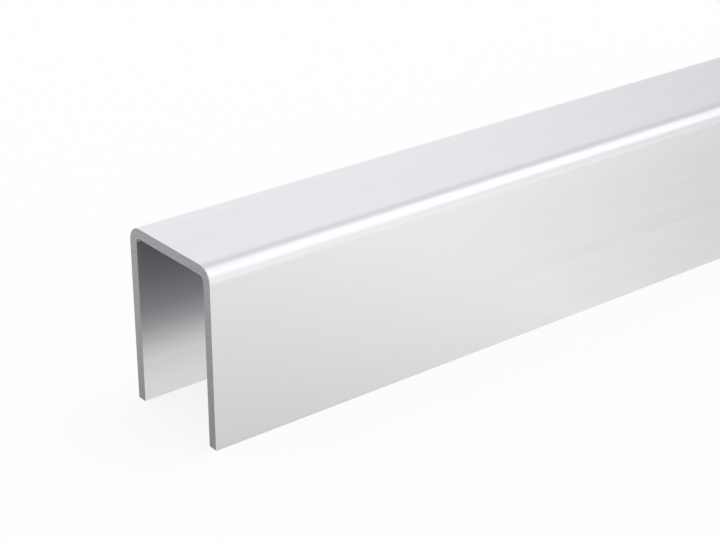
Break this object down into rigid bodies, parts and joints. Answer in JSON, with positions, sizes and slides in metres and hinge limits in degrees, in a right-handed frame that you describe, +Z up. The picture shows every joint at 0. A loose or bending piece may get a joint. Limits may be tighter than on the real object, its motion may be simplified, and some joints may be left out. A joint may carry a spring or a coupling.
{
  "type": "aluminium u-channel profile",
  "caption": "Straight three-sided aluminium channel with rounded outer corners, extruded and satin anodised, for capping, edging or guiding a panel.",
  "frame": {"origin": "on the floor, halfway along the channel and halfway between its two legs", "axes": "+X along the channel's length, +Y across it from leg to leg, +Z up from the leg tips to the web"},
  "size_m": [1, 0.018, 0.025],
  "materials": {
    "anodised_aluminium": "fine satin, brushed along the length and clear anodised, with bare sawn ends"
  },
  "bodies": {
    "root": {"u_channel": "anodised_aluminium"}
  },
  "joints": []
}
